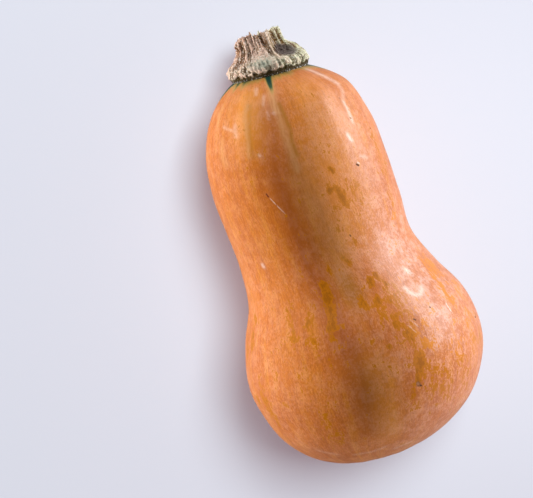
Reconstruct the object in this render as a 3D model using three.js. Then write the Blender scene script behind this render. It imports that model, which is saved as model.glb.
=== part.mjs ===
// A butternut squash lying on its side, in millimetres, +Z up, with its stem towards +Y.
// The fruit is one solid and the dry stub of its stalk is another, seated on the end of the neck.
// Both are first shaped upright round their own axis, where +Y runs out through the stem,
// and are then laid down so that bulb and neck share one flat resting level.
import * as THREE from "three";

// Driving dimensions.
const FRUIT_LENGTH = 173.5; // from the stem's seat to the blossom end
const BULB_RADIUS = 51.6;
const BULB_SWAY = 8.8; // how far the bulb stands to the side of the stem
const BULB_LIFT = 5; // how far the bulb's centre stands above the neck's axis
const RIB_COUNT = 10;
const RIB_HEIGHT = 0.55;
const SCAR_RADIUS = 16.5;
const SCAR_SINK = 0.9;
const REST_PRESS = 0.8; // how deep the skin is flattened where it lies
const STEM_HEIGHT = 16.4;
const FOOT_RADIUS = 17.9;
const STEM_RADIUS = 10.2;
const STEM_LEAN = 1.5; // how far the stub's cut end stands to the side of its foot
const RIDGE_DEPTH = 1.25;
const SEAT_GAP = 0.3;

// Fruit outline: share of the length from the stem's seat, share of the bulb's radius, share of the sway.
const OUTLINE = [
  [0, 0, 0],
  [0, 0.287, 0.05],
  [0.06, 0.547, 0.16],
  [0.159, 0.697, 0.12],
  [0.258, 0.736, 0.14],
  [0.357, 0.735, 0.26],
  [0.457, 0.729, 0.45],
  [0.546, 0.799, 0.81],
  [0.635, 0.938, 1],
  [0.73, 1, 1],
  [0.819, 0.952, 0.95],
  [0.903, 0.79, 0.79],
  [0.968, 0.485, 0.54],
  [1, 0, 0.3],
];
const NECK_STATION = 4; // the outline's points where the neck and the bulb are widest
const BULB_STATION = 9;
const FRUIT_SEGMENTS = 80;
const RINGS_PER_SPAN = 3;
const SHOULDER_RINGS = 5;
const BLOSSOM_RINGS = 12;

// Stem outline: height above the seat, and radius, up the outside of the foot and stub.
const STEM_OUTLINE = [
  [0.6, FOOT_RADIUS - 0.4],
  [2.2, FOOT_RADIUS + 0.1],
  [4.2, FOOT_RADIUS],
  [6.2, FOOT_RADIUS - 1.4],
  [7.8, FOOT_RADIUS - 4],
  [9.6, STEM_RADIUS + 2.1],
  [12.2, STEM_RADIUS + 0.7],
  [STEM_HEIGHT, STEM_RADIUS],
];
const FOOT_EDGE = [-0.72, 17.2]; // height and radius of the foot's lower edge, over the fruit's shoulder
const SEAT_RADIUS = 14.4;
const STEM_SEGMENTS = 90;
const STEM_RINGS = 16;

const smoothstep = THREE.MathUtils.smoothstep;

// The fruit's outline as one smooth curve of (distance along the axis, radius, sway).
// The point past the blossom end mirrors the one before it, so the curve meets the axis squarely.
const [alongLast, radiusLast, swayLast] = OUTLINE.at(-2);
const outlineCurve = new THREE.CatmullRomCurve3(
  [...OUTLINE, [alongLast, -radiusLast, swayLast]].map(
    ([along, radius, sway]) =>
      new THREE.Vector3(along * FRUIT_LENGTH, radius * BULB_RADIUS, sway * BULB_SWAY),
  ),
  false,
  "catmullrom",
  0.5,
);

// Outline points from the blossom end to the seat, which is the order that turns the faces outwards.
function fruitRings() {
  const spans = OUTLINE.length - 1;
  const rings = [];
  for (let span = 1; span < spans; span++) {
    let count = RINGS_PER_SPAN;
    if (span === 1) count = SHOULDER_RINGS;
    if (span === spans - 1) count = BLOSSOM_RINGS;
    for (let k = 0; k < count; k++) {
      rings.push(outlineCurve.getPoint((span + k / count) / (spans + 1)));
    }
  }
  const tip = outlineCurve.getPoint(spans / (spans + 1));
  tip.y = 0;
  rings.push(tip);
  const seatCentre = new THREE.Vector3(0, 0, 0);
  return [seatCentre, ...rings].reverse();
}

// How far the skin stands out of the plain turned shape: veins that run down from the stem, and low swells.
function skinRelief(along, angle) {
  const vein = (0.5 + 0.5 * Math.cos(RIB_COUNT * angle)) ** 2;
  const veinFade = smoothstep(along, 0, 6) * (1 - smoothstep(along, 14, 62));
  const swell = 0.3 * Math.sin(2 * angle + along / 38) + 0.22 * Math.sin(5 * angle - along / 52 + 1);
  const body = smoothstep(along, 8, 40) * (1 - smoothstep(along, FRUIT_LENGTH - 22, FRUIT_LENGTH - 6));
  return RIB_HEIGHT * vein * veinFade + swell * body;
}

// The corky blossom scar: a sunk disc with a groove round it and a pit in the middle.
function scarSink(radius, angle) {
  const edge = SCAR_RADIUS * (1 + 0.05 * Math.cos(3 * angle + 0.7) + 0.03 * Math.cos(5 * angle));
  const disc = 0.25 * SCAR_SINK * (1 - smoothstep(radius, edge - 1, edge + 1));
  const groove = 0.5 * SCAR_SINK * Math.exp(-(((radius - edge) / 1.3) ** 2));
  const pit = 1.5 * SCAR_SINK * Math.exp(-((radius / 4.5) ** 2));
  return disc + groove + pit;
}

// Moves each vertex of a turned shape: move gets its height on the axis, radius and angle, and gives its place.
// Angle 0 points along +X and a quarter turn along +Z.
function reshape(geometry, move) {
  const position = geometry.getAttribute("position");
  for (let i = 0; i < position.count; i++) {
    const x = position.getX(i);
    const z = position.getZ(i);
    const place = move(position.getY(i), Math.hypot(x, z), Math.atan2(z, x));
    position.setXYZ(i, place.x, place.y, place.z);
  }
  geometry.computeVertexNormals();
  return geometry;
}

// The fruit upright: +Y through the stem's seat, which is at the origin.
function fruitUpright() {
  const rings = fruitRings();
  const swayAt = new Map(rings.map((ring) => [-ring.x, ring.z]));
  const profile = rings.map((ring) => new THREE.Vector2(ring.y, -ring.x));
  const turned = new THREE.LatheGeometry(profile, FRUIT_SEGMENTS);
  const heights = [...swayAt.keys()];
  return reshape(turned, (height, radius, angle) => {
    const ring = heights.reduce((a, b) => (Math.abs(b - height) < Math.abs(a - height) ? b : a));
    const sway = swayAt.get(ring);
    const blossom = height < -0.8 * FRUIT_LENGTH;
    const out = radius > 0 ? radius + skinRelief(-height, angle) : 0;
    const sink = blossom ? scarSink(radius, angle) : 0;
    return new THREE.Vector3(
      sway + out * Math.cos(angle),
      height + sink,
      (sway / BULB_SWAY) * BULB_LIFT + out * Math.sin(angle),
    );
  });
}

// Ridges and furrows round the stub: five strong ridges, five weaker ones and a fine irregular split grain.
function stemRidge(angle) {
  const strong = 0.5 * Math.cos(5 * angle - 1.4);
  const weak = -0.34 * Math.cos(10 * angle);
  const grain = 0.3 * Math.cos(17 * angle + 1.3) * (0.6 + 0.4 * Math.cos(3 * angle));
  return strong + weak + grain;
}

// The stem upright, its seat at the origin and its torn end towards +Y.
function stemUpright() {
  const side = new THREE.SplineCurve(STEM_OUTLINE.map(([height, radius]) => new THREE.Vector2(radius, height)));
  const profile = [
    new THREE.Vector2(0, SEAT_GAP),
    new THREE.Vector2(SEAT_RADIUS, SEAT_GAP),
    new THREE.Vector2(FOOT_EDGE[1], FOOT_EDGE[0]),
    ...side.getPoints(STEM_RINGS),
    new THREE.Vector2(0.8 * STEM_RADIUS, STEM_HEIGHT - 0.3),
    new THREE.Vector2(0.5 * STEM_RADIUS, STEM_HEIGHT - 1),
    new THREE.Vector2(0.2 * STEM_RADIUS, STEM_HEIGHT - 1.2),
    new THREE.Vector2(0, STEM_HEIGHT - 1.2),
  ];
  return reshape(new THREE.LatheGeometry(profile, STEM_SEGMENTS), (height, radius, angle) => {
    const onSide = smoothstep(height, 0.6, 3) * smoothstep(radius, 0, STEM_RADIUS);
    const depth = RIDGE_DEPTH * (0.35 + 0.65 * smoothstep(height, 4, 10));
    const out = radius + onSide * depth * stemRidge(angle);
    const up = smoothstep(height, 0.75 * STEM_HEIGHT, STEM_HEIGHT);
    const tear = 0.9 * Math.cos(angle - 0.5) + 0.55 * Math.cos(7 * angle + 0.9) + 0.35 * Math.cos(13 * angle);
    return new THREE.Vector3(
      0.3 * STEM_LEAN - STEM_LEAN * (height / STEM_HEIGHT) * smoothstep(height, 0.6, 8) + out * Math.cos(angle),
      height + up * tear * (radius / STEM_RADIUS),
      out * Math.sin(angle),
    );
  });
}

// The angle that brings the undersides of neck and bulb to one level.
function lyingTilt() {
  const underside = ([along, radius, sway]) => [
    along * FRUIT_LENGTH,
    radius * BULB_RADIUS - sway * BULB_LIFT,
  ];
  const [neckAlong, neckDrop] = underside(OUTLINE[NECK_STATION]);
  const [bulbAlong, bulbDrop] = underside(OUTLINE[BULB_STATION]);
  return Math.atan((bulbDrop - neckDrop) / (bulbAlong - neckAlong));
}

function material(color, roughness) {
  return new THREE.MeshStandardMaterial({ color, roughness, metalness: 0 });
}

const tilt = lyingTilt();
const fruitGeometry = fruitUpright().rotateX(-tilt);
fruitGeometry.computeBoundingBox();
const lift = -fruitGeometry.boundingBox.min.z - REST_PRESS;
fruitGeometry.translate(0, 0, lift);

// The fruit's own weight flattens the skin where it lies.
const fruitPlaces = fruitGeometry.getAttribute("position");
for (let i = 0; i < fruitPlaces.count; i++) {
  fruitPlaces.setZ(i, Math.max(0, fruitPlaces.getZ(i)));
}

const fruit = new THREE.Mesh(fruitGeometry, material(0xc8742f, 0.45));
fruit.name = "fruit";

const stem = new THREE.Mesh(stemUpright(), material(0xa3906b, 0.9));
stem.name = "stem";
stem.rotation.x = -tilt;
stem.position.z = lift;

// The whole squash, with the middle of its footprint at the origin.
const squash = new THREE.Group();
squash.add(fruit, stem);
const middle = new THREE.Box3().setFromObject(squash, true).getCenter(new THREE.Vector3());
squash.position.set(-middle.x, -middle.y, 0);

export default squash;
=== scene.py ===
import math
import random

import bmesh
import bpy
import numpy as np
from mathutils import Matrix, Vector, noise


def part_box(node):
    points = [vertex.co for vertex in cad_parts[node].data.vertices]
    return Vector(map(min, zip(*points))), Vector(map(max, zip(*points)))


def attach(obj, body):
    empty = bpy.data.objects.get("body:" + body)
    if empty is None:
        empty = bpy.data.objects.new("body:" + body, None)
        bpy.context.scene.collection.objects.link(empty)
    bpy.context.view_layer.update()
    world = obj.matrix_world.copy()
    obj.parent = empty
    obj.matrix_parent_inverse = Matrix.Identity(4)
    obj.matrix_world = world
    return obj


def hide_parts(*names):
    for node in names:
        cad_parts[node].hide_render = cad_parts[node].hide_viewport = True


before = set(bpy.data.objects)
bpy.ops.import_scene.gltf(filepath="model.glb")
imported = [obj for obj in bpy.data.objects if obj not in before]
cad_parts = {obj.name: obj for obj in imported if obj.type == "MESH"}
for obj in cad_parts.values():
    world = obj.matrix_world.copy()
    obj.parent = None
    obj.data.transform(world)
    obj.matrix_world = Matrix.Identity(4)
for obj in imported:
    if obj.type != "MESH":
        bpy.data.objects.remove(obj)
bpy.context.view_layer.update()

# A butternut squash lying on its side. Lengths are in millimetres until a mesh is written, and in metres
# in the shaders and the studio.
# Along is the distance from the stem's seat towards the blossom end.
# Around is the angle about the fruit's axis in degrees, 0 on top and growing towards +X.
MM = 0.001

FRUIT_LENGTH = 173.5
BULB_RADIUS = 51.6
BULB_SWAY = 8.8
BULB_LIFT = 5.0
REST_PRESS = 0.8
OUTLINE = [
    (0, 0, 0),
    (0, 0.287, 0.05),
    (0.06, 0.547, 0.16),
    (0.159, 0.697, 0.12),
    (0.258, 0.736, 0.14),
    (0.357, 0.735, 0.26),
    (0.457, 0.729, 0.45),
    (0.546, 0.799, 0.81),
    (0.635, 0.938, 1),
    (0.73, 1, 1),
    (0.819, 0.952, 0.95),
    (0.903, 0.79, 0.79),
    (0.968, 0.485, 0.54),
    (1, 0, 0.3),
]
NECK_STATION, BULB_STATION = 4, 9
FRUIT_STEPS = 320
SPAN_RINGS = 24
BLOSSOM_START = 0.8 * FRUIT_LENGTH  # the scar lies beyond it

VEINS = (-146, -110, -75, -33, -4, 33, 67, 103, 140, 176)
VEIN_WIDTH = 8.0
VEIN_HEIGHT = 0.55
VEIN_FADE = (14, 62)  # along, from their full height to none
SCAR_RADIUS = 16.5
SCAR_SINK = 0.9

STEM_HEIGHT = 16.4
FOOT_RADIUS = 17.9
STEM_RADIUS = 10.2
STEM_LEAN = 1.5
STEM_STEPS = 288
STEM_SPAN_RINGS = 11
# Ridges up the stub: (around, strength).
STEM_RIDGES = [
    (-146, 1),
    (-108, 0.8),
    (-72, 1),
    (-34, 1),
    (-7, 0.7),
    (20, 0.9),
    (68, 1),
    (104, 0.8),
    (140, 1),
    (176, 0.8),
]
RIDGE_WIDTH = 11.0
RIDGE_DEPTH = 1.7
COLLAR_WRINKLES = 58

FLOOR_HALF_SIZE = 4
FLOOR_GLOW = 0.31
OVERHEAD_GLOW = 0.035

CHANCE = random.Random(7)


def smooth(x, start, end):
    t = np.clip((np.asarray(x, float) - start) / (end - start), 0, 1)
    return t * t * (3 - 2 * t)


def turn_between(around, centre):
    """The signed turn in degrees from centre to around, between -180 and 180."""
    return (np.asarray(around, float) - centre + 180) % 360 - 180


def bump_at(distance, width):
    return np.exp(-((distance / width) ** 2))


# Low, irregular swells: each is a whole number of waves round the fruit, with its own pitch along it.
SWELLS = [
    (count, CHANCE.uniform(-1, 1) / 22, CHANCE.uniform(0, math.tau), 0.34 / count)
    for count in (2, 3, 3, 5, 6, 8, 9, 11)
]


def curve_points(points, steps):
    """A smooth curve from the second point towards the last but one, which it stops short of by one step."""
    rows = []
    for before, start, end, after in zip(points, points[1:], points[2:], points[3:]):
        for k in range(steps):
            u = k / steps
            bend = (2 * before - 5 * start + 4 * end - after) * u**2
            twist = (3 * start - before - 3 * end + after) * u**3
            rows.append(start + 0.5 * ((end - before) * u + bend + twist))
    return rows


def outline_rows():
    """The fruit's rings from the seat to the blossom end, as (along, radius, sway)."""
    points = [
        Vector((along * FRUIT_LENGTH, radius * BULB_RADIUS, sway * BULB_SWAY))
        for along, radius, sway in OUTLINE
    ]
    points.append(Vector((points[-2].x, -points[-2].y, points[-2].z)))
    return curve_points(points, SPAN_RINGS) + [points[-2]]


ROWS = np.array([tuple(row) for row in outline_rows()])
ROWS[-1, 1] = 0


def skin_relief(along, radius, around):
    """How far the skin stands out of the plain turned shape."""
    veins = sum(bump_at(turn_between(around, centre), VEIN_WIDTH) for centre in VEINS)
    relief = VEIN_HEIGHT * veins * smooth(along, 0, 6) * (1 - smooth(along, *VEIN_FADE))
    turn = np.radians(around)
    swell = sum(height * np.sin(count * turn + pitch * along + start) for count, pitch, start, height in SWELLS)
    body = smooth(along, 8, 40) * (1 - smooth(along, FRUIT_LENGTH - 22, FRUIT_LENGTH - 6))
    # The build: where the real one is fuller or slimmer than turned.
    right_side, left_side = (bump_at(turn_between(around, side), 48) for side in (88, -92))
    neck = smooth(along, 2, 12) * (1 - smooth(along, 64, 84))
    low_bulb = smooth(along, 130, 144) * smooth(radius, 12, 30)
    build = right_side * (1.1 * neck + 0.35 * bump_at(along - 11, 7) - 0.35 * low_bulb)
    build += left_side * (0.4 * bump_at(along - 16, 8) - 0.65 * bump_at(along - 66, 15) - 0.65 * low_bulb)
    pucker = np.cos(np.radians(14 * around) + 0.4 * np.cos(3 * turn))
    pucker = pucker * bump_at(radius - 21, 6) * smooth(along, 150, 165)
    return relief + swell * body + build + 0.22 * pucker


def scar_edge(around):
    """The radius of the blossom scar, whose edge waves a little."""
    turn = np.radians(around)
    waves = 0.05 * np.cos(3 * turn + 0.7) + 0.03 * np.cos(5 * turn) + 0.015 * np.cos(11 * turn + 1)
    return SCAR_RADIUS * (1 + waves)


def scar_sink(radius, around):
    """The depth of the corky blossom scar: a sunk disc, a groove round it and a pit in the middle."""
    edge = scar_edge(around)
    disc = 0.25 * (1 - smooth(radius, edge - 1, edge + 1))
    groove = 0.6 * bump_at(radius - edge, 1.1)
    inner = 0.25 * bump_at(radius - 0.55 * edge, 1.2)
    pit = 1.5 * bump_at(radius, 4.5)
    return SCAR_SINK * (disc + groove + inner + pit)


def laid_down(own):
    """Own-frame places in the lying pose: drooped so that neck and bulb touch, and pressed flat there."""
    turned = own @ np.array(Matrix.Rotation(-DROOP, 3, "X")).T
    turned[:, 2] += LIFT
    turned[:, 2] = np.maximum(turned[:, 2], 0)
    return turned + SHIFT


def fruit_places(along, radius, sway, around):
    out = np.where(radius > 0, radius + skin_relief(along, radius, around), 0)
    turn = np.radians(90 - around)
    sink = scar_sink(radius, around) * (along > BLOSSOM_START)
    return np.stack(
        [sway + out * np.cos(turn), sink - along, sway / BULB_SWAY * BULB_LIFT + out * np.sin(turn)], axis=-1
    )


def droop_angle():
    (neck_y, neck_r, neck_s), (bulb_y, bulb_r, bulb_s) = OUTLINE[NECK_STATION], OUTLINE[BULB_STATION]
    rise = (bulb_r - neck_r) * BULB_RADIUS - (bulb_s - neck_s) * BULB_LIFT
    return math.atan(rise / ((bulb_y - neck_y) * FRUIT_LENGTH))


def at_skin(along, around):
    """The point on the finished skin at one place, in metres."""
    radius = np.interp(along, ROWS[:, 0], ROWS[:, 1])
    sway = np.interp(along, ROWS[:, 0], ROWS[:, 2])
    own = fruit_places(*(np.array([v], float) for v in (along, radius, sway, around)))
    return Vector(laid_down(own)[0] * MM)


def spun(name, profile, steps, carried):
    """A closed body turned about +Y from points (radius, height). Carried values go round with each point."""
    bm = bmesh.new()
    layers = {label: bm.verts.layers.float.new(label) for label in carried}
    line = []
    for i, (radius, height) in enumerate(profile):
        vert = bm.verts.new((radius, height, 0))
        for label, values in carried.items():
            vert[layers[label]] = values[i]
        line.append(vert)
    edges = [bm.edges.new(pair) for pair in zip(line, line[1:])]
    bmesh.ops.spin(
        bm, geom=line + edges, cent=(0, 0, 0), axis=(0, 1, 0), angle=math.tau, steps=steps, use_merge=True
    )
    bmesh.ops.remove_doubles(bm, verts=bm.verts, dist=1e-4)
    bmesh.ops.recalc_face_normals(bm, faces=bm.faces)
    mesh = bpy.data.meshes.new(name)
    bm.to_mesh(mesh)
    bm.free()
    mesh.shade_smooth()
    return mesh


def read(mesh, label):
    values = np.zeros(len(mesh.vertices), dtype=np.float32)
    mesh.attributes[label].data.foreach_get("value", values)
    return values.astype(float)


def write(mesh, label, values):
    layer = mesh.attributes.new(label, "FLOAT", "POINT")
    layer.data.foreach_set("value", np.asarray(values, dtype=np.float32))


def angles_round(mesh):
    flat = np.zeros(3 * len(mesh.vertices), dtype=np.float32)
    mesh.vertices.foreach_get("co", flat)
    spots = flat.reshape(-1, 3).astype(float)
    return 90 - np.degrees(np.arctan2(spots[:, 2], spots[:, 0]))


def write_places(mesh, places):
    mesh.vertices.foreach_set("co", (places * MM).astype(np.float32).ravel())
    mesh.update()


def piece(mesh, node, finish):
    obj = bpy.data.objects.new(mesh.name, mesh)
    bpy.context.scene.collection.objects.link(obj)
    mesh.materials.append(finish)
    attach(obj, "root")
    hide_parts(node)
    return obj


# Rubbed places, where the pale bloom is gone and yellow-brown skin shows:
# (along, around, half length, half width, strength).
RUBBED = [
    (42.3, 18.5, 1.2, 0.9, 1),
    (44, 20.5, 1.2, 0.9, 1),
    (50.5, 15, 2, 1.2, 1),
    (53, 19.5, 2.8, 0.9, 1),
    (56, 21.5, 2.8, 1.3, 1),
    (56, 31, 6, 4, 0.62),
    (58.5, 15, 2.2, 1, 0.8),
    (68, 12, 1.1, 0.9, 0.9),
    (75, 19.5, 2, 0.8, 1),
    (79.5, 8.5, 1.6, 1, 1),
    (82, 10, 1.4, 0.8, 0.9),
    (83.5, -3, 3, 0.6, 0.9),
    (88, -10.2, 1.4, 1.8, 1.1),
    (93.4, -11, 2.6, 2.1, 1.2),
    (98.5, -12.4, 2.4, 1.6, 1.1),
    (104, -14, 2.2, 2, 1.2),
    (108.5, -15.5, 1.4, 1.2, 0.8),
    (117.5, -18.5, 3, 0.8, 0.9),
    (102, -36, 7, 2.2, 0.62),
    (104, -25.5, 8, 2.4, 0.62),
    (92.5, 16, 2, 1.1, 0.9),
    (90, 21, 1.5, 0.9, 1),
    (94, 23.5, 1.6, 0.9, 0.9),
    (98, 6, 2.2, 1.3, 1),
    (99, 14, 1.6, 1, 0.9),
    (104, 20, 9, 7, 0.5),
    (118, 10.5, 0.9, 0.9, 1.2),
    (128, 22.6, 3.6, 1.5, 1.1),
    (134, 20, 2.4, 1, 1),
    (139.6, 16.3, 3.4, 1, 1),
    (118, 24, 9, 7, 0.5),
    (138, 30, 9, 7, 0.4),
    (94, 60.5, 3, 0.8, 0.85),
    (101, 58, 5, 0.7, 0.8),
    (109, 55.5, 4, 0.9, 0.85),
    (66, 60, 9, 2, 0.5),
    (40, 62, 7, 1.2, 0.6),
    (146, -28, 9, 5, 0.42),
    (122, 58, 12, 10, 0.36),
    (143, 50, 9, 10, 0.36),
    (106, 74, 8, 7, 0.22),
    (132, 74, 9, 6, 0.36),
]
# Pale lines that run down from the stem on the sides that face away:
# (around, half width in degrees, reach, strength).
PALE_LINES = [
    (103, 2.4, 45, 0.6),
    (140, 2.4, 50, 0.6),
    (176, 2, 40, 0.5),
    (-110, 2.4, 45, 0.6),
    (-146, 2.4, 40, 0.6),
]
# Strokes on the skin, each with a half width in mm, a strength, and its (along, around) points.
# Cream-coloured vein lines:
VEIN_STROKES = [
    (1.5, 1, [(2.5, -4.5), (9, -6), (12.6, -6), (15.5, -3.5)]),
    (1.8, 0.72, [(15.5, -3.5), (22, -3), (30, -1.5), (40, -1)]),
    (4.5, 0.28, [(44, 0), (60, 4), (78, 8)]),
    (1, 0.62, [(9.7, -29), (13.4, -31), (18.6, -30), (24, -29), (30, -30)]),
    (1.1, 0.5, [(8.4, -63), (11.1, -64.5), (15, -61.5)]),
    (2, 0.5, [(22, -55), (27.6, -54), (31, -51)]),
    (0.8, 0.5, [(2.1, -58.5), (4.7, -61.5)]),
]
# Yellow-brown lines beside a vein:
OCHRE_STROKES = [
    (0.9, 0.7, [(12, -2), (17.7, 0), (23, 1.5), (28, 0.5), (34, 1.5)]),
    (1, 0.35, [(10, -26.5), (19, -27.5), (30, -27)]),
]
# Broad darker bands between the veins. The first, down the top at around -13, is mostly painted shade of the
# dim top between the side lamps, and partly the skin's own darker band:
DARK_BAND_AND_SHADE_STROKES = [
    (6, 0.8, [(14, -13), (60, -14), (100, -12), (125, -7), (150, -6)]),
    (4, 0.3, [(20, 18), (60, 14)]),
    (5, 0.4, [(30, 120), (120, 124)]),
    (5, 0.4, [(20, -165), (120, -160)]),
]
# Pale wax, scuffs and dry ridges, with painted highlights: the line down the right shoulder of the neck, the
# short stroke at the neck's right edge, and the loop and spot on the bulb's upper right stand for glints of the
# right-hand light:
WAX_AND_HIGHLIGHT_STROKES = [
    (1.3, 0.55, [(1.7, 52.5), (4.1, 54), (7.7, 55.5), (11, 58)]),
    (0.9, 0.35, [(11, 58), (14.2, 56.5), (16.8, 52.5), (18.6, 49.5)]),
    (0.8, 0.7, [(18.6, 49.5), (22.2, 49.5), (27.6, 48)]),
    (0.9, 0.9, [(31.9, 39), (34.5, 40.5)]),
    (1, 0.7, [(21, 83), (26, 85)]),
    (0.9, 0.36, [(4.3, -21), (6.3, -21)]),
    (0.7, 0.3, [(7.7, -13.5), (11.1, -15)]),
    (0.7, 0.25, [(14.2, -12), (16.8, -12)]),
    (0.6, 0.32, [(16, -54), (18.8, -40)]),
    (1.3, 0.28, [(16.8, -40), (20.4, -39)]),
    (0.7, 0.35, [(15, -7.5), (15.2, -7)]),
    (0.7, 0.5, [(30.1, -22.5), (30.3, -22.3)]),
    (1.1, 0.85, [(98.6, 33), (100.3, 33.6), (102.4, 35.6), (102.6, 39), (100.6, 43)]),
    (1.3, 1, [(92.4, 42), (93.4, 42.6)]),
    (0.8, 0.7, [(75.5, -46.6), (76.3, -46.2)]),
    (0.8, 0.4, [(42, 44), (43.5, 49)]),
    (0.8, 0.2, [(157, -45), (160.4, -33)]),
    (0.8, 0.24, [(162, -22), (162.3, -9), (161.3, 0)]),
    (0.8, 0.26, [(164.2, 8), (163.2, 21)]),
]
# Rubbed places on the sides that face away, scattered within these ranges.
SCATTERED_SPOTS = 42
SCATTER_RANGES = ((30, 150), (60, 300), (2, 8), (1.4, 3.2), (0.4, 0.9))
RUBBED += [tuple(CHANCE.uniform(low, high) for low, high in SCATTER_RANGES) for _ in range(SCATTERED_SPOTS)]
RUBBED_SPREAD = 1.3

# The pale bloom lies on whole sides: (around, half width in degrees, strength). The right side, around 58, is
# also painted sheen of the right-hand light.
BLOOM_AND_SHEEN_SIDES = [(58, 42, 1), (165, 40, 0.8), (-120, 30, 0.5), (-68, 24, 0.22)]
# And more of it on these spots on the right, which are painted sheen of the right-hand light: (along, half
# length, around, half width in degrees, strength).
BLOOM_AND_SHEEN_SPOTS = [(92, 26, 58, 32, 0.65), (118, 13, 36, 15, 0.7), (88, 14, 44, 12, 0.3)]
# The vine's green is drawn out here: (around, length, half width in degrees).
GREEN_TONGUES = [(-5, 6.5, 3.1), (-84, 5, 9), (86, 4.4, 8), (140, 6, 5), (-146, 7, 5), (-56, 2, 4)]


def rubbed_amount(along, radius, around):
    total = np.zeros_like(along)
    for spot_along, spot_around, half_length, half_width, strength in RUBBED:
        aside = np.radians(turn_between(around, spot_around)) * radius
        lengthwise = bump_at(along - spot_along, half_length * RUBBED_SPREAD)
        total += strength * lengthwise * bump_at(aside, half_width * RUBBED_SPREAD)
    return np.clip(total, 0, 1.4)


def strokes(arc, radius, around, arc_at, lines):
    """1 on the strokes and falling off beside them, measured over the skin."""
    total = np.zeros_like(arc)
    for half_width, strength, points in lines:
        nearest = np.full_like(arc, 99.0)
        for (start, start_turn), (end, end_turn) in zip(points, points[1:]):
            ahead, aside = arc - arc_at(start), np.radians(turn_between(around, start_turn)) * radius
            run, rise = arc_at(end) - arc_at(start), np.radians(end_turn - start_turn) * radius
            share = np.clip((ahead * run + aside * rise) / (run**2 + rise**2 + 1e-9), 0, 1)
            nearest = np.minimum(nearest, np.hypot(ahead - share * run, aside - share * rise))
        total = np.maximum(total, strength * bump_at(nearest, half_width))
    return total


def tip_green(along, around):
    """The dark green that the vine leaves round the stem's foot, drawn out along some of the veins."""
    reach = 1.3 + 0.5 * np.sin(np.radians(7 * around)) + 0.4 * np.sin(np.radians(16 * around + 40))
    for centre, length, width in GREEN_TONGUES:
        reach = reach + length * bump_at(turn_between(around, centre), width)
    return (reach - along) / 2.4


def bloom_and_sheen_amount(along, around):
    """How much of the pale bloom lies on the skin. It is partly painted sheen: the extra on the right side and
    on the spots there stands for the gloss of the right-hand light.
    """
    sides = sum(
        strength * bump_at(turn_between(around, centre), width)
        for centre, width, strength in BLOOM_AND_SHEEN_SIDES
    )
    bloom_and_painted_sheen = 0.14 + 0.16 * smooth(along, 55, 90) + 0.25 * (1 - smooth(along, 15, 50))
    bloom_and_painted_sheen += 0.7 * np.clip(sides, 0, 1) * smooth(along, 6, 38)
    for centre, half_length, spot, half_turn, strength in BLOOM_AND_SHEEN_SPOTS:
        lengthwise = bump_at(along - centre, half_length)
        bloom_and_painted_sheen += strength * lengthwise * bump_at(turn_between(around, spot), half_turn)
    return bloom_and_painted_sheen


def painted_light_amount(along, around):
    """Painted light: where the skin is made a brighter orange to stand for light falling on it, in two bands
    down the neck and one on the bulb.
    """
    centre = 24 - 0.1 * along
    painted_light = bump_at(turn_between(around, centre), 20) * smooth(along, 1, 8) * (1 - smooth(along, 64, 92))
    painted_light += 1.8 * bump_at(turn_between(around, -29), 14) * smooth(along, 1, 6) * (1 - smooth(along, 14, 38))
    painted_light += 0.9 * bump_at(turn_between(around, 2), 10) * smooth(along, 110, 126) * (1 - smooth(along, 152, 166))
    return painted_light


def grow_fruit(finish):
    along, radius, sway = (np.concatenate([[0], ROWS[:, i]]) for i in range(3))
    arc = np.concatenate([[0], np.cumsum(np.hypot(np.diff(along), np.diff(radius)))])
    beyond_seat = along > 0
    rows_along, rows_arc = along[beyond_seat], arc[beyond_seat]

    def arc_at(distance):
        return np.interp(distance, rows_along, rows_arc)

    carried = {"along": along, "radius": radius, "sway": sway, "arc": arc}
    mesh = spun("fruit", list(zip(radius, -along)), FRUIT_STEPS, carried)
    around = angles_round(mesh)
    along, radius, sway, arc = (read(mesh, label) for label in carried)
    write_places(mesh, laid_down(fruit_places(along, radius, sway, around)))
    drift = 0.16 * along  # the pale lines turn a little round the fruit
    pale = sum(
        strength
        * bump_at(turn_between(around, centre + drift), width)
        * (1 - smooth(along, 0.35 * reach, reach))
        for centre, width, reach, strength in PALE_LINES
    )
    front = strokes(arc, radius, around, arc_at, VEIN_STROKES)
    write(mesh, "vein", np.maximum(front, pale * smooth(along, 2, 7)))
    for label, lines in (("furrow", OCHRE_STROKES), ("wax_and_highlight", WAX_AND_HIGHLIGHT_STROKES), ("dark_band_and_shade", DARK_BAND_AND_SHADE_STROKES)):
        write(mesh, label, strokes(arc, radius, around, arc_at, lines))
    write(mesh, "rubbed", rubbed_amount(along, radius, around))
    write(mesh, "bloom_and_sheen", bloom_and_sheen_amount(along, around))
    write(mesh, "olive", bump_at(along - 91, 12) * bump_at(turn_between(around, 3), 7))
    write(mesh, "painted_light", painted_light_amount(along, around))
    write(mesh, "green", tip_green(along, around))
    write(mesh, "scar", np.where(along > BLOSSOM_START, scar_edge(around) - radius, -20))
    touching = smooth(along, 5, 40) * (1 - smooth(along, 120, 158))
    write(mesh, "under", -np.cos(np.radians(around)) * touching)
    turn = np.radians(around)
    flow = np.stack([np.cos(turn), np.sin(turn), along / FRUIT_LENGTH * 0.3], axis=-1)
    layer = mesh.attributes.new("flow", "FLOAT_VECTOR", "POINT")
    layer.data.foreach_set("vector", flow.astype(np.float32).ravel())
    return piece(mesh, "fruit", finish)


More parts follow.
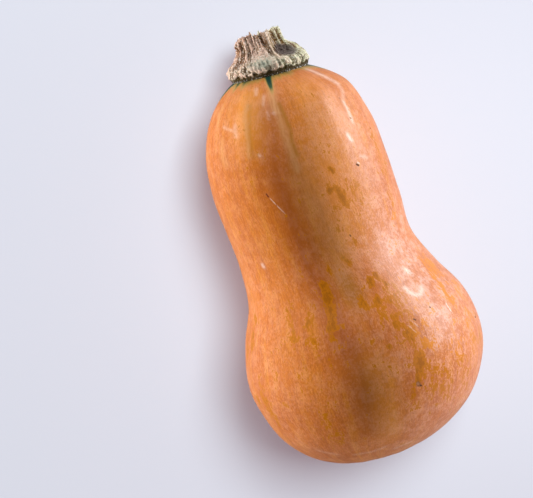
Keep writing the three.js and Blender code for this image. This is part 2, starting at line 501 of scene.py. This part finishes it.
def stem_profile():
    """Points (radius, height) from the seat up the outside of the foot and stub and over its torn end."""
    side = [  # (height, radius)
        (-0.9, 16.9),
        (0.6, FOOT_RADIUS - 0.3),
        (2.2, FOOT_RADIUS + 0.1),
        (4.2, FOOT_RADIUS),
        (6.2, FOOT_RADIUS - 1.4),
        (7.8, FOOT_RADIUS - 4),
        (9.6, STEM_RADIUS + 2.1),
        (12.2, STEM_RADIUS + 0.7),
        (STEM_HEIGHT, STEM_RADIUS),
        (STEM_HEIGHT + 0.1, 0.86 * STEM_RADIUS),
        (STEM_HEIGHT - 0.9, 0.55 * STEM_RADIUS),
        (STEM_HEIGHT - 1.3, 0.25 * STEM_RADIUS),
    ]
    points = [Vector((radius, height)) for height, radius in side]
    points = [2 * points[0] - points[1]] + points + [Vector((-0.2, STEM_HEIGHT - 1.4))]
    seat = [Vector((0, -0.4)), Vector((14, -0.4))]
    return seat + curve_points(points, STEM_SPAN_RINGS) + [Vector((0, STEM_HEIGHT - 1.35))]


def ridge_at(around):
    return sum(
        strength * bump_at(turn_between(around, centre), RIDGE_WIDTH)
        for centre, strength in STEM_RIDGES
    )


def noise_round(turn, height, fineness, pitch, *fractal):
    """Noise over the stem's side: fineness counts round the stem, and pitch is its length up the stem."""
    return np.array(
        [
            noise.fractal(
                Vector((fineness * math.cos(t), fineness * math.sin(t), h / pitch)),
                *fractal,
                noise_basis="PERLIN_ORIGINAL",
            )
            for t, h in zip(turn, height)
        ]
    )


def grow_stem(finish):
    rows = stem_profile()
    carried = {"height": [row.y for row in rows], "radius": [row.x for row in rows]}
    mesh = spun("stem", [tuple(row) for row in rows], STEM_STEPS, carried)
    around = angles_round(mesh)
    height, radius = (read(mesh, label) for label in carried)
    turn = np.radians(around)
    side = smooth(height, 0, 2) * smooth(radius, 0.5 * STEM_RADIUS, STEM_RADIUS)
    collar = smooth(height, -0.5, 1) * (1 - smooth(height, 4.5, 8))
    stub = smooth(height, 3.5, 9)

    rough = noise_round(turn, height, 3.1, 16, 0.7, 2.2, 5)
    knobs = noise_round(turn, height, 6.5, 2.6, 0.8, 2.1, 4)
    fibres = noise_round(turn, height, 9, 14, 0.8, 2.3, 4)
    ridge = ridge_at(around) - 0.62
    wrinkle = np.cos(COLLAR_WRINKLES * turn + 1.6 * np.cos(5 * turn) + 0.5 * rough)
    hollow = bump_at(turn_between(around, 46), 21) * bump_at(height - 8.2, 2.9)
    lump = bump_at(turn_between(around, 92), 27) * bump_at(height - 8.6, 2.3)
    slim = bump_at(turn_between(around, -80), 50)
    out = radius - 1.1 * slim * smooth(radius, 6, 10) + side * (
        RIDGE_DEPTH * ridge * stub
        + 0.5 * ridge * (1 - stub)
        + 0.2 * wrinkle * collar
        + 0.7 * rough * stub
        + (0.9 * fibres + 0.45 * knobs) * stub
        + 0.75 * knobs * collar
        - 1.5 * hollow
        + 3.0 * lump
    )
    up = smooth(height, 0.7 * STEM_HEIGHT, STEM_HEIGHT)
    torn = (
        0.4 * np.cos(turn - 1.2)
        - 1.9 * bump_at(turn_between(around, -80), 26)
        + 0.7 * (ridge + 0.1)
        + 0.8 * rough
        + 1.3 * fibres
        + 2.1 * bump_at(turn_between(around, -14), 2.2)
        + 0.8 * bump_at(turn_between(around, 52), 16)
    )
    lean = 0.3 * STEM_LEAN - STEM_LEAN * (height / STEM_HEIGHT) * smooth(height, 0.6, 8)
    own = np.stack(
        [
            lean + out * np.sin(turn),
            height + up * torn * smooth(radius, 0.2 * STEM_RADIUS, 0.95 * STEM_RADIUS) + 0.5 * up * knobs,
            out * np.cos(turn),
        ],
        axis=-1,
    )
    write_places(mesh, laid_down(own))
    write(mesh, "crest", stub * (ridge + 2.4 * fibres) + collar * (0.3 * wrinkle + 1.6 * knobs) + 0.4 * rough)
    write(mesh, "hollow", hollow)
    write(mesh, "cut", up * (1 - smooth(radius, 0.62 * STEM_RADIUS, 0.86 * STEM_RADIUS)))
    write(mesh, "right", smooth(turn_between(around, 24), -24, 46))
    write(mesh, "powder", bump_at(turn_between(around, -4), 20) * bump_at(height - 5, 2.8))
    return piece(mesh, "stem", finish)


class Nodes:
    """A node tree, and short ways to add nodes to it."""

    def __init__(self, tree):
        self.tree = tree

    def add(self, kind, *inputs, **settings):
        node = self.tree.nodes.new(kind)
        for name, value in settings.items():
            setattr(node, name, value)
        for i, value in enumerate(inputs):
            self.feed(node.inputs[i], value)
        return node

    def feed(self, socket, value):
        if isinstance(value, bpy.types.NodeSocket):
            self.tree.links.new(value, socket)
        else:
            socket.default_value = value

    def calc(self, operation, *values, clamp=False):
        return self.add("ShaderNodeMath", *values, operation=operation, use_clamp=clamp).outputs[0]


class Finish(Nodes):
    """A material, and the nodes that the finishes share."""

    def __init__(self, name):
        self.material = bpy.data.materials.new(name)
        self.material.use_nodes = True
        super().__init__(self.material.node_tree)
        self.tree.nodes.clear()

    def place(self):
        return self.add("ShaderNodeTexCoord").outputs["Object"]

    def value_of(self, label):
        return self.add("ShaderNodeAttribute", attribute_name=label).outputs["Fac"]

    def vector_of(self, label):
        return self.add("ShaderNodeAttribute", attribute_name=label).outputs["Vector"]

    def grain(self, where, scale, detail, rough):
        node = self.add("ShaderNodeTexNoise")
        for name, value in (("Vector", where), ("Scale", scale), ("Detail", detail), ("Roughness", rough)):
            self.feed(node.inputs[name], value)
        return node.outputs["Fac"]

    def stretched(self, where, scale):
        return self.add("ShaderNodeMapping", where, (0, 0, 0), (0, 0, 0), scale).outputs[0]

    def times(self, one, other):
        return self.calc("MULTIPLY", one, other)

    def plus(self, one, other):
        return self.calc("ADD", one, other)

    def swing(self, grain, amount):
        """Grain, which runs from 0 to 1, turned into a swing round 0."""
        return self.times(self.calc("SUBTRACT", grain, 0.5), amount)

    def fade(self, value, low, high, start=0.0, end=1.0):
        """start below low, end above high, and a smooth run between."""
        node = self.add("ShaderNodeMapRange", value, low, high, start, end, interpolation_type="SMOOTHSTEP")
        return node.outputs[0]

    def blend(self, share, under, over):
        node = self.add("ShaderNodeMix", data_type="RGBA", clamp_factor=True)
        self.feed(node.inputs["Factor"], share)
        for socket, colour in ((node.inputs[6], under), (node.inputs[7], over)):
            self.feed(socket, (*colour, 1) if isinstance(colour, tuple) else colour)
        return node.outputs[2]

    def near_line(self, start, end, half_width):
        """1 on the line from start to end and 0 beyond half_width from it, all in metres."""
        run = end - start
        offset = self.add("ShaderNodeVectorMath", self.place(), tuple(start), operation="SUBTRACT").outputs[0]
        dot = self.add("ShaderNodeVectorMath", offset, tuple(run), operation="DOT_PRODUCT").outputs["Value"]
        share = self.calc("MULTIPLY", dot, 1 / max(run.length_squared, 1e-12), clamp=True)
        step = self.add("ShaderNodeVectorMath", tuple(run), operation="SCALE")
        self.feed(step.inputs["Scale"], share)
        rest = self.add("ShaderNodeVectorMath", offset, step.outputs[0], operation="SUBTRACT").outputs[0]
        length = self.add("ShaderNodeVectorMath", rest, operation="LENGTH").outputs["Value"]
        return self.fade(length, 0.35 * half_width, half_width, 1.0, 0.0)

    def finish(self, colour, roughness, relief, depth, ior):
        bump = self.add("ShaderNodeBump")
        bump.inputs["Distance"].default_value = depth
        self.feed(bump.inputs["Height"], relief)
        surface = self.add("ShaderNodeBsdfPrincipled")
        self.feed(surface.inputs["Base Color"], colour)
        self.feed(surface.inputs["Roughness"], roughness)
        self.feed(surface.inputs["Normal"], bump.outputs[0])
        surface.inputs["IOR"].default_value = ior
        self.add("ShaderNodeOutputMaterial", surface.outputs[0])
        return self.material


# Small marks on the skin: (along, around) of both ends, half width in mm, colour.
NICKS = [
    ((44.6, 38.4), (45.3, 39.6), 0.6, (0.1, 0.035, 0.012)),
    ((46.3, -24.2), (47.6, -23.4), 0.45, (0.2, 0.04, 0.02)),
    ((108.5, 38.8), (108.7, 39.2), 0.45, (0.16, 0.05, 0.02)),
    ((110.4, 26.6), (111, 27.4), 0.45, (0.14, 0.045, 0.02)),
    ((121.8, 73.2), (121.9, 73.8), 0.6, (0.14, 0.04, 0.01)),
    ((71.4, 17.7), (72, 18), 0.35, (0.2, 0.07, 0.02)),
    ((25.7, 47.6), (26, 48.2), 0.45, (0.3, 0.12, 0.04)),
    ((32.6, 62.8), (32.9, 63.2), 0.5, (0.4, 0.1, 0.02)),
    ((16.7, 47.8), (16.9, 48.2), 0.4, (0.4, 0.14, 0.05)),
    ((136, 19.4), (136.6, 19.7), 1.25, (0.24, 0.09, 0.035)),
    ((135.9, 19.2), (136.3, 19.5), 0.75, (0.42, 0.18, 0.09)),
    ((137.2, 20.6), (137.4, 20.9), 0.5, (0.09, 0.035, 0.02)),
]
# The same for pale scratches, with a strength in place of the colour.
PALE_SCRATCHES = [
    ((48.5, -22.6), (56, -16.5), 0.32, 0.45),
    ((110, 24.5), (114, 27.5), 0.45, 0.32),
    ((112, 22.5), (115.5, 25), 0.45, 0.25),
    ((44, 39.6), (44.6, 40.6), 0.5, 0.7),
    ((110, 50.6), (114.5, 51), 0.5, 0.8),
]


def skin_finish():
    f = Finish("waxy_orange_skin")
    place, flow = f.place(), f.vector_of("flow")
    streaks = f.grain(f.stretched(flow, (1, 1, 1.8)), 14, 3, 0.5)
    fine_streaks = f.grain(f.stretched(flow, (1, 1, 3)), 42, 4, 0.6)
    clouds = f.grain(place, 24, 4, 0.55)
    mottle = f.grain(place, 190, 5, 0.65)
    specks = f.grain(f.stretched(flow, (1, 1, 6)), 80, 3, 0.75)
    pores = f.grain(place, 780, 2, 0.6)

    colour = f.blend(f.fade(clouds, 0.35, 0.68), (0.57, 0.145, 0.012), (0.66, 0.185, 0.016))
    colour = f.blend(f.fade(streaks, 0.48, 0.7, 0, 0.5), colour, (0.72, 0.26, 0.018))
    colour = f.blend(f.fade(streaks, 0.5, 0.32, 0, 0.4), colour, (0.42, 0.09, 0.007))
    colour = f.blend(f.fade(fine_streaks, 0.55, 0.3, 0, 0.42), colour, (0.42, 0.095, 0.007))
    colour = f.blend(f.fade(mottle, 0.5, 0.68, 0, 0.5), colour, (0.76, 0.27, 0.04))
    colour = f.blend(f.fade(specks, 0.5, 0.34, 0, 0.5), colour, (0.4, 0.095, 0.006))
    colour = f.blend(f.fade(specks, 0.52, 0.68, 0, 0.4), colour, (0.8, 0.31, 0.05))
    # Painted shade, partly the skin's own tone: the dark bands, above all the one down the top, darken the
    # colour.
    dark_band_and_shade = f.times(f.value_of("dark_band_and_shade"), f.fade(streaks, 0.36, 0.56, 0.65, 1.2))
    colour = f.blend(dark_band_and_shade, colour, (0.4, 0.09, 0.006))
    colour = f.blend(f.times(f.value_of("olive"), 0.7), colour, (0.38, 0.15, 0.012))
    # Painted light: the lit bands are a brighter orange.
    colour = f.blend(f.times(f.value_of("painted_light"), 0.3), colour, (0.95, 0.37, 0.02))

    # The pale bloom, and where it is rubbed off. On the right side the pale colour is also painted sheen of the
    # right-hand light.
    wear = f.plus(f.value_of("rubbed"), f.swing(mottle, 2.6))
    flecks = f.grain(f.stretched(flow, (1, 1, 5)), 30, 4, 0.7)
    wear = f.plus(wear, f.swing(flecks, 2.4))
    wear = f.plus(wear, f.swing(pores, 1.4))
    rubbed = f.fade(wear, 0.44, 0.62)
    stray = f.fade(f.grain(f.stretched(flow, (1, 1, 2.2)), 34, 5, 0.7), 0.57, 0.66)
    stray = f.times(stray, f.fade(clouds, 0.45, 0.6, 0.1, 0.8))
    rubbed = f.calc("MAXIMUM", rubbed, f.times(stray, f.value_of("bloom_and_sheen")))
    dust = f.plus(f.times(mottle, 0.5), f.times(specks, 0.25))
    dust = f.plus(dust, f.times(pores, 0.25))
    bloom_and_painted_sheen = f.times(f.fade(dust, 0.43, 0.58, 0.1, 0.52), f.value_of("bloom_and_sheen"))
    bloom_and_painted_sheen = f.times(bloom_and_painted_sheen, f.calc("SUBTRACT", 1.0, rubbed))
    colour = f.blend(bloom_and_painted_sheen, colour, (0.82, 0.44, 0.34))
    ochre = f.blend(f.fade(wear, 0.7, 1.4), (0.56, 0.175, 0.001), (0.4, 0.12, 0.001))
    # Painted light: rubbed patches are a lighter orange, and blend in less, where bloom and sheen are thick on
    # the lit sides.
    ochre = f.blend(f.fade(f.value_of("bloom_and_sheen"), 0.95, 1.4), ochre, (0.76, 0.26, 0.02))
    colour = f.blend(f.times(rubbed, f.fade(f.value_of("bloom_and_sheen"), 0.95, 1.4, 0.9, 0.7)), colour, ochre)

    vein = f.times(f.value_of("vein"), f.fade(fine_streaks, 0.3, 0.6, 0.4, 0.9))
    colour = f.blend(vein, colour, (0.72, 0.36, 0.14))
    furrow = f.times(f.value_of("furrow"), f.fade(specks, 0.3, 0.55, 0.4, 1))
    colour = f.blend(furrow, colour, (0.42, 0.16, 0.004))
    # Painted highlights among the pale wax marks: several strokes stand for glints of the right-hand light.
    wax_and_highlight = f.times(f.value_of("wax_and_highlight"), f.fade(specks, 0.34, 0.52, 0.3, 1))
    colour = f.blend(wax_and_highlight, colour, (0.93, 0.7, 0.58))
    green = f.plus(f.value_of("green"), f.swing(f.grain(flow, 30, 4, 0.6), 1.6))
    leaf = f.blend(f.fade(green, 0.3, 1.8), (0.055, 0.115, 0.04), (0.007, 0.042, 0.032))
    colour = f.blend(f.fade(green, -0.7, 0.15, 0, 0.65), colour, (0.46, 0.33, 0.08))
    colour = f.blend(f.fade(green, -0.1, 0.75, 0, 1), colour, leaf)

    under = f.fade(f.plus(f.value_of("under"), f.times(clouds, 0.3)), 0.95, 1.2, 0, 0.6)
    colour = f.blend(under, colour, (0.72, 0.36, 0.1))

    dull = 0.0
    for start, end, half_width, dark in NICKS:
        mark = f.near_line(at_skin(*start), at_skin(*end), half_width * MM)
        colour = f.blend(mark, colour, dark)
        dull = f.calc("MAXIMUM", dull, mark)
    for start, end, half_width, strength in PALE_SCRATCHES:
        mark = f.near_line(at_skin(*start), at_skin(*end), half_width * MM)
        colour = f.blend(f.times(mark, f.fade(specks, 0.38, 0.56, 0, strength)), colour, (0.9, 0.75, 0.65))

    # The corky blossom scar: the carried value is the distance inside its edge.
    crumbs = f.grain(place, 1300, 3, 0.7)
    lumps = f.grain(place, 420, 3, 0.6)
    scar = f.plus(f.value_of("scar"), f.swing(lumps, 3.5))
    cork = f.blend(f.fade(f.grain(place, 700, 3, 0.6), 0.4, 0.62), (0.44, 0.23, 0.12), (0.7, 0.48, 0.33))
    cork = f.blend(f.fade(crumbs, 0.56, 0.63, 0, 0.8), cork, (0.12, 0.045, 0.025))
    rays = f.grain(f.stretched(flow, (1, 1, 8)), 9, 3, 0.65)
    ring = f.plus(scar, f.times(f.grain(place, 150, 3, 0.6), 6))
    crack = f.fade(f.calc("ABSOLUTE", f.calc("SUBTRACT", ring, 11.6)), 1.1, 0.3)
    crack = f.times(crack, f.fade(f.grain(place, 260, 2, 0.5), 0.5, 0.56, 0, 0.85))
    heart = f.times(f.fade(scar, 8.5, 12.5), f.fade(rays, 0.4, 0.62, 1, 0.4))
    cork = f.blend(f.calc("MAXIMUM", crack, heart), cork, (0.05, 0.02, 0.018))
    edge = f.times(f.fade(scar, 2.1, 1.3), f.fade(f.grain(place, 330, 2, 0.5), 0.43, 0.52, 0.25, 1))
    cork = f.blend(edge, cork, (0.07, 0.025, 0.015))
    corky = f.fade(scar, 0, 0.4)
    lip = f.times(f.fade(scar, -1.8, -0.5), f.fade(lumps, 0.4, 0.55, 0.2, 0.8))
    colour = f.blend(lip, colour, (0.7, 0.36, 0.2))
    colour = f.blend(corky, colour, cork)

    roughness = f.plus(0.4, f.swing(mottle, 0.2))
    roughness = f.plus(roughness, f.times(rubbed, -0.07))
    roughness = f.calc("MAXIMUM", roughness, f.times(f.calc("MAXIMUM", corky, dull), 0.85))
    relief = f.plus(f.times(mottle, 0.42), f.times(specks, 0.14))
    relief = f.plus(relief, f.times(fine_streaks, 0.15))
    relief = f.plus(relief, f.times(corky, f.times(crumbs, -1.2)))
    return f.finish(colour, roughness, relief, depth=0.0004, ior=1.46)


def stem_finish():
    f = Finish("dry_corky_stem")
    place = f.place()
    grit = f.grain(place, 1500, 3, 0.75)
    flakes = f.grain(place, 900, 3, 0.7)
    lumps = f.grain(place, 420, 4, 0.65)
    patches = f.grain(place, 120, 3, 0.55)
    crest = f.plus(f.value_of("crest"), f.swing(lumps, 2.6))
    height, hollow, right = f.value_of("height"), f.value_of("hollow"), f.value_of("right")

    tan = f.blend(f.fade(patches, 0.42, 0.58), (0.56, 0.28, 0.15), (0.5, 0.33, 0.21))
    colour = f.blend(right, tan, (0.52, 0.48, 0.25))
    tinged = f.fade(right, -0.1, 0.3)
    low_band = f.blend(tinged, (0.92, 0.7, 0.52), (0.74, 0.74, 0.52))
    colour = f.blend(f.fade(height, 3.5, 8, 0.9, 0), colour, low_band)
    # Painted highlight and shade, partly the stem's own tone: ridge tops are paler and the grooves darker.
    high = f.blend(right, (0.8, 0.52, 0.4), (0.78, 0.77, 0.54))
    colour = f.blend(f.fade(crest, 0.15, 0.65, 0, 0.85), colour, high)
    low = f.blend(f.times(right, f.fade(height, 9, 12)), (0.15, 0.065, 0.025), (0.22, 0.1, 0.015))
    low = f.blend(f.fade(height, 7, 4.5), low, f.blend(tinged, (0.16, 0.075, 0.03), (0.09, 0.085, 0.02)))
    colour = f.blend(f.fade(crest, 0.15, -0.35, 0, 0.9), colour, low)
    colour = f.blend(f.fade(flakes, 0.52, 0.62, 0, 0.55), colour, (0.2, 0.09, 0.035))
    colour = f.blend(f.fade(grit, 0.55, 0.63, 0, 0.55), colour, (0.07, 0.045, 0.015))
    colour = f.blend(f.fade(grit, 0.47, 0.38, 0, 0.75), colour, (0.97, 0.9, 0.8))
    powder = f.times(f.value_of("powder"), f.fade(flakes, 0.36, 0.54, 0.35, 1))
    colour = f.blend(powder, colour, (0.52, 0.54, 0.42))
    # The hollow in the stub is coloured near black.
    hollow_dark = f.blend(f.fade(flakes, 0.42, 0.6), (0.045, 0.03, 0.028), (0.15, 0.11, 0.1))
    colour = f.blend(f.fade(hollow, 0.2, 0.55, 0, 0.92), colour, hollow_dark)
    foot = f.plus(height, f.swing(lumps, 5.0))
    colour = f.blend(f.fade(foot, 2.0, 0.9, 0, 0.96), colour, (0.036, 0.022, 0.001))
    colour = f.blend(f.times(f.fade(height, 0.4, -0.3), f.fade(grit, 0.54, 0.62)), colour, (0.7, 0.7, 0.7))
    cut = f.blend(f.fade(flakes, 0.4, 0.62), (0.3, 0.17, 0.09), (0.7, 0.56, 0.4))
    cut = f.blend(f.fade(f.value_of("radius"), 3.4, 1.6), cut, (0.06, 0.03, 0.015))
    colour = f.blend(f.value_of("cut"), colour, cut)
    roughness = f.fade(crest, -0.3, 0.5, 0.95, 0.8)
    relief = f.plus(f.times(lumps, 0.7), f.times(flakes, 0.6))
    return f.finish(colour, roughness, relief, depth=0.001, ior=1.4)


def floor_finish():
    f = Finish("pale_paper_floor")
    # Painted light: the floor glows as a stand-in for fill light. It is painted dimmer away from the fruit as
    # light fall-off, glows more far off to make up for the lamp's fall-off, and is pink near the fruit as
    # painted bounce light from the orange skin.
    away = f.add("ShaderNodeVectorMath", f.place(), (0.06, -0.02, 0), operation="DISTANCE").outputs["Value"]
    dim = f.fade(away, 0.03, 0.18)
    surface = f.add("ShaderNodeBsdfDiffuse", f.blend(dim, (0.258, 0.3, 0.334), (0.235, 0.273, 0.304)))
    glow = f.fade(away, 0.03, 0.18, FLOOR_GLOW, 0.91 * FLOOR_GLOW)
    glow = f.plus(glow, f.fade(away, 0.4, 3, 0, 0.4))
    painted_bounce_tint = f.blend(f.fade(away, 0.15, 0.5), (1.0, 0.78, 0.9), (0.88, 0.88, 1.0))
    glow = f.add("ShaderNodeEmission", painted_bounce_tint, glow)
    both = f.add("ShaderNodeAddShader", surface.outputs[0], glow.outputs[0])
    f.add("ShaderNodeOutputMaterial", both.outputs[0])
    return f.material


# The lying pose, matched to the frame: the whole fruit is turned, dropped and shifted as one.
DROOP = droop_angle()
LIFT, SHIFT = 500.0, np.zeros(3)  # held well clear of the ground while it is measured
TURNS = np.linspace(-180, 180, 181)
rings_round = np.repeat(TURNS, len(ROWS))
rings_along, rings_radius, rings_sway = (np.tile(ROWS[:, i], len(TURNS)) for i in range(3))
loose = laid_down(fruit_places(rings_along, rings_radius, rings_sway, rings_round))
LIFT = LIFT - loose[:, 2].min() - REST_PRESS
low_corner, high_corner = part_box("fruit")
cad_middle = [(low_corner[i] + high_corner[i]) / 2 / MM for i in (0, 1)]
loose_middle = [(loose[:, i].min() + loose[:, i].max()) / 2 for i in (0, 1)]
SHIFT = np.array([cad_middle[0] - loose_middle[0], cad_middle[1] - loose_middle[1], 0])

fruit = grow_fruit(skin_finish())
stem = grow_stem(stem_finish())

# Studio.
floor_mesh = bpy.data.meshes.new("floor")
bm = bmesh.new()
bmesh.ops.create_grid(bm, x_segments=1, y_segments=1, size=FLOOR_HALF_SIZE)
bm.to_mesh(floor_mesh)
bm.free()
floor = bpy.data.objects.new("floor", floor_mesh)
floor_mesh.materials.append(floor_finish())
bpy.context.scene.collection.objects.link(floor)
floor.visible_glossy = False


def lit_only(name, *objs):
    """A set of objects that a light is kept to."""
    chosen = bpy.data.collections.new(name)
    for obj in objs:
        chosen.objects.link(obj)
    return chosen


def softbox(name, place, aim, size, watts, lights, mirrored=True):
    light = bpy.data.lights.new(name, "AREA")
    light.shape = "RECTANGLE"
    light.size, light.size_y = size
    light.energy = watts
    obj = bpy.data.objects.new(name, light)
    obj.location = place
    obj.rotation_euler = (Vector(aim) - Vector(place)).to_track_quat("-Z", "Y").to_euler()
    obj.visible_camera = False
    obj.visible_glossy = mirrored
    obj.light_linking.receiver_collection = lights
    bpy.context.scene.collection.objects.link(obj)


on_squash = lit_only("lit_squash", fruit, stem)
on_floor = lit_only("lit_floor", floor)
softbox("right_softbox", (0.68, 0.27, 0.11), (0, -0.01, 0.05), (0.65, 0.2), 5.4, on_squash)
softbox("right_fill", (0.47, -0.08, 0.54), (0, -0.03, 0.05), (0.5, 0.5), 1.95, on_squash, mirrored=False)
softbox("left_softbox", (-0.78, 0.16, 0.075), (0, 0, 0.05), (1.2, 0.15), 11.2, on_squash, mirrored=False)
softbox("far_softbox", (-0.3, 0.85, 0.33), (0, 0, 0.05), (0.8, 0.4), 1.2, on_squash)
softbox("near_softbox", (0.4, -0.75, 0.16), (0, -0.05, 0.05), (0.8, 0.3), 3.0, on_squash, mirrored=False)
softbox("floor_softbox", (0.42, 0.7, 1.72), (0, 0, 0), (0.75, 0.75), 81.0, on_floor)

# The air is dim overhead. Near the ground it is bright to the right and a little bright to the left.
world = bpy.data.worlds.new("studio_air")
world.use_nodes = True
air = Nodes(world.node_tree)
direction = air.add("ShaderNodeSeparateXYZ", air.add("ShaderNodeTexCoord").outputs["Generated"]).outputs
to_right = air.add("ShaderNodeMapRange", direction[0], 0.0, 0.7, 0.1, 0.9).outputs[0]
to_left = air.add("ShaderNodeMapRange", direction[0], 0.0, -0.7, 0.0, 0.3).outputs[0]
not_near = air.add("ShaderNodeMapRange", direction[1], -0.6, 0.0, 0.0, 1.0).outputs[0]
to_left = air.calc("MULTIPLY", to_left, not_near)
low_glow = air.calc("ADD", to_right, to_left)
low = air.add("ShaderNodeMapRange", direction[2], 0.02, -0.05, 0.0, 1.0).outputs[0]
glow = air.calc("MULTIPLY", low_glow, low)
backdrop = air.tree.nodes["Background"]
backdrop.inputs["Color"].default_value = (0.9, 0.9, 1, 1)
air.feed(backdrop.inputs["Strength"], air.calc("ADD", glow, OVERHEAD_GLOW))
bpy.context.scene.world = world
bpy.context.scene.view_settings.view_transform = "Standard"

# Camera: almost overhead, a little beyond the vertical on the stem's side, rolled so that the axis leans left.
beyond, roll, distance = math.radians(14), math.radians(-15.1), 0.85
aim = Vector((-0.0291, 0.0054, 0.045))
back = Vector((0, math.sin(beyond), math.cos(beyond)))
level_up = Vector((0, math.cos(beyond), -math.sin(beyond)))
level_right = level_up.cross(back)
right = math.cos(roll) * level_right + math.sin(roll) * level_up
up = math.cos(roll) * level_up - math.sin(roll) * level_right
camera_data = bpy.data.cameras.new("camera")
camera_data.lens = 133.8
camera_data.sensor_width = 36
camera_data.clip_end = 50
camera = bpy.data.objects.new("camera", camera_data)
turn_matrix = Matrix((right, up, back)).transposed().to_4x4()
camera.matrix_world = Matrix.Translation(aim + back * distance) @ turn_matrix
bpy.context.scene.collection.objects.link(camera)
bpy.context.scene.camera = camera
